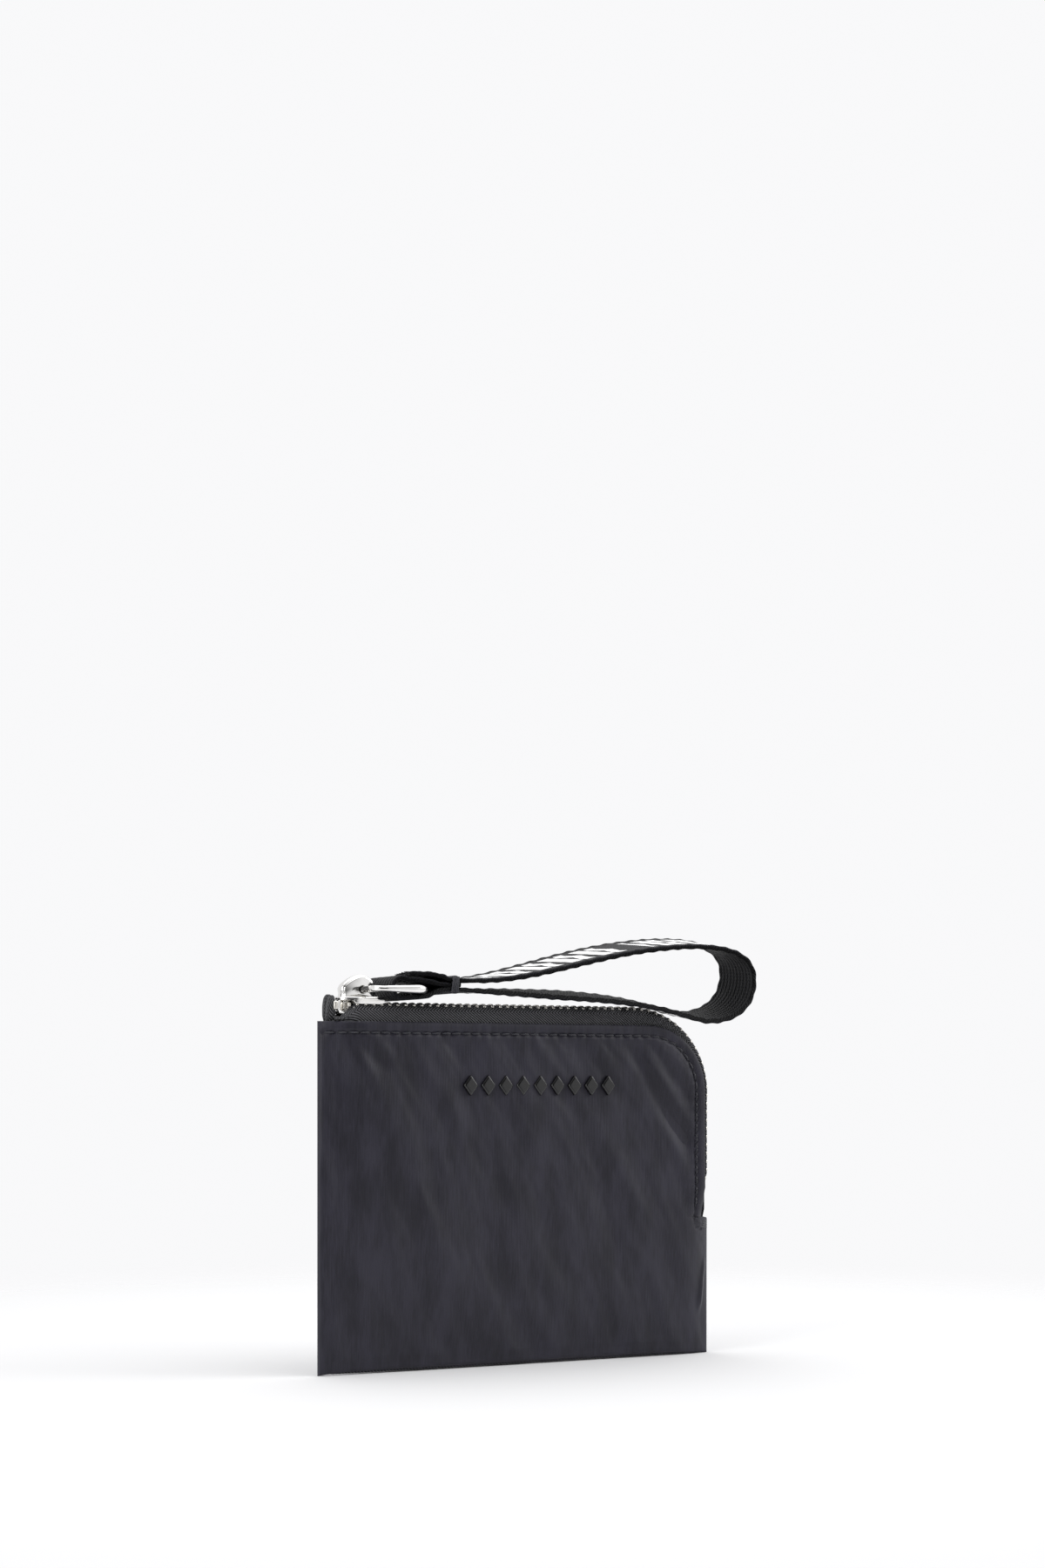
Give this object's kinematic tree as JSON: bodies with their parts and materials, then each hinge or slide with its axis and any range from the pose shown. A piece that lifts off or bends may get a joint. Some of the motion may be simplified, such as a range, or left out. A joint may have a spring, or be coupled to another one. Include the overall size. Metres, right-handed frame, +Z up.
{
  "type": "zippered pouch",
  "caption": "Flat fabric pouch with a metal zip round its top and one side, a locking slider with a ring, and a webbing wrist strap.",
  "frame": {"origin": "middle of the bottom seam's underside, which the pouch stands on", "axes": "+X along the width towards the zip's lower end, +Y to the back, +Z up to the mouth"},
  "size_m": [0.1422, 0.0262, 0.1279],
  "materials": {
    "shell_fabric": "satin woven nylon, dark charcoal",
    "lining_fabric": "plain woven lining, black",
    "zip_tape": "herringbone tape, black",
    "zip_metal": "bright nickel plate",
    "hardware": "polished nickel plate",
    "spring_steel": "plain steel",
    "thread": "polyester thread, black",
    "webbing": "twill webbing, black with a white geometric print",
    "emblem": "gloss black enamel"
  },
  "bodies": {
    "pouch": {"front_panel": "shell_fabric", "back_panel": "shell_fabric", "front_lining": "lining_fabric", "back_lining": "lining_fabric", "bottom_seam_binding": "shell_fabric", "front_zip_tape": "zip_tape", "back_zip_tape": "zip_tape", "front_teeth": "zip_metal", "back_teeth": "zip_metal", "top_stops": "zip_metal", "bottom_stop": "zip_metal", "tape_end_folds": "zip_tape", "front_topstitch": "thread", "back_topstitch": "thread", "side_bartacks": "thread", "emblem_studs": "emblem"},
    "slider": {"slider_body": "hardware", "slider_crown": "hardware", "lock_spring": "spring_steel"},
    "lock": {"lock_pin": "spring_steel"},
    "puller": {"puller_ring": "hardware", "strap_anchor_fold": "webbing", "strap_top_end": "webbing", "strap_bar_tack": "thread"},
    "strap": {"wrist_strap": "webbing"}
  },
  "joints": [
    {"name": "slider_travel", "type": "slide", "parent": "pouch", "child": "slider", "axis": [1, 0, 0], "range_m": [0, 0.08]},
    {"name": "puller_swing", "type": "hinge", "parent": "slider", "child": "puller", "pos_m": [-0.052, 0, 0.1096], "axis": [0, -1, 0], "range_deg": [0, 105]},
    {"name": "lock_lift", "type": "slide", "parent": "slider", "child": "lock", "axis": [0, 0, 1], "range_m": [0, 0.0008]},
    {"name": "strap_swing", "type": "hinge", "parent": "puller", "child": "strap", "pos_m": [-0.02435, 0, 0.1133], "axis": [0, -1, 0], "range_deg": [0, 75]}
  ],
  "couplings": [
    {"joint": "lock_lift", "follows": "puller_swing", "m_per_rad": 0.000436}
  ]
}
